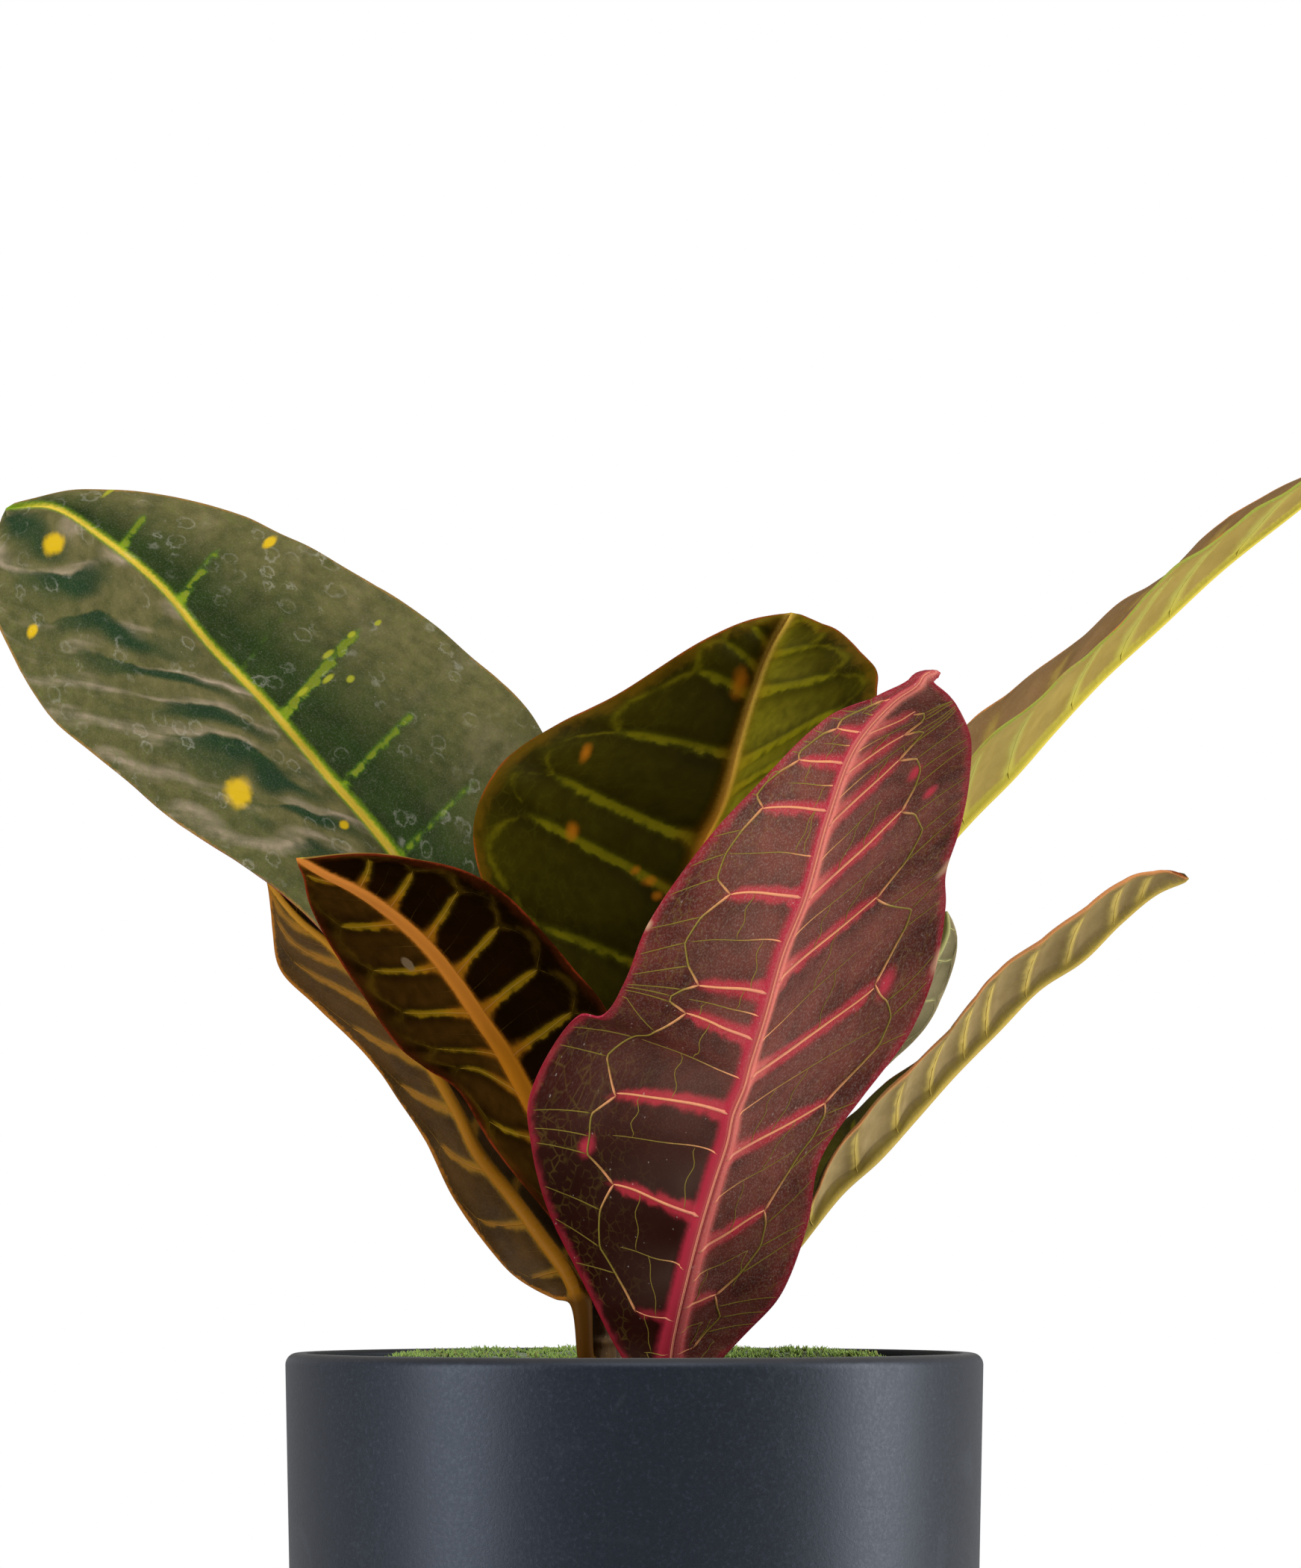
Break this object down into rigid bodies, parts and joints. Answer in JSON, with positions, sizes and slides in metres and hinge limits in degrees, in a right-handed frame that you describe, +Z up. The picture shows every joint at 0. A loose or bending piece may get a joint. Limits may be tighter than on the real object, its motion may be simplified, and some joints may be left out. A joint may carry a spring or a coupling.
{
  "type": "potted croton",
  "caption": "Croton plant with large red, green and olive leaves on one short stem, growing in soil and moss in a plain round tapered pot.",
  "frame": {"origin": "middle of the pot's flat underside", "axes": "+Z up along the pot's axis, -Y is the front of the plant, +X to its right seen from the front"},
  "size_m": [0.2654, 0.1305, 0.2901],
  "materials": {
    "pot_glaze": "satin slate-blue glaze with a fine grain",
    "soil": "crumbly peat and bark compost, matt",
    "moss": "soft green moss, matt",
    "stem": "young brown-olive bark with leaf scars",
    "leaf_red": "leathery underside, maroon panels between pink and cream veins",
    "leaf_green": "leathery upper side, dark green with a yellow midrib and spots, dusty satin sheen",
    "leaf_olive": "leathery upper side, olive with an ochre midrib and a rusty margin",
    "leaf_dark": "leathery underside, near black brown with an orange midrib",
    "leaf_brown": "leathery underside, grey brown with an ochre midrib",
    "leaf_yellow": "leathery underside, khaki with a yellow midrib",
    "leaf_ochre": "leathery underside, olive brown with salmon margin and cream veins",
    "leaf_grey": "leathery, dull grey green"
  },
  "bodies": {
    "root": {"pot": "pot_glaze", "soil": "soil", "moss": "moss", "stem": "stem", "leaf_front_red": "leaf_red", "leaf_left_green": "leaf_green", "leaf_back_olive": "leaf_olive", "leaf_left_dark": "leaf_dark", "leaf_left_low": "leaf_brown", "leaf_right_long": "leaf_yellow", "leaf_right_low": "leaf_ochre", "leaf_right_small": "leaf_grey", "leaf_rear_left": "leaf_green", "leaf_rear_right": "leaf_olive"}
  },
  "joints": []
}
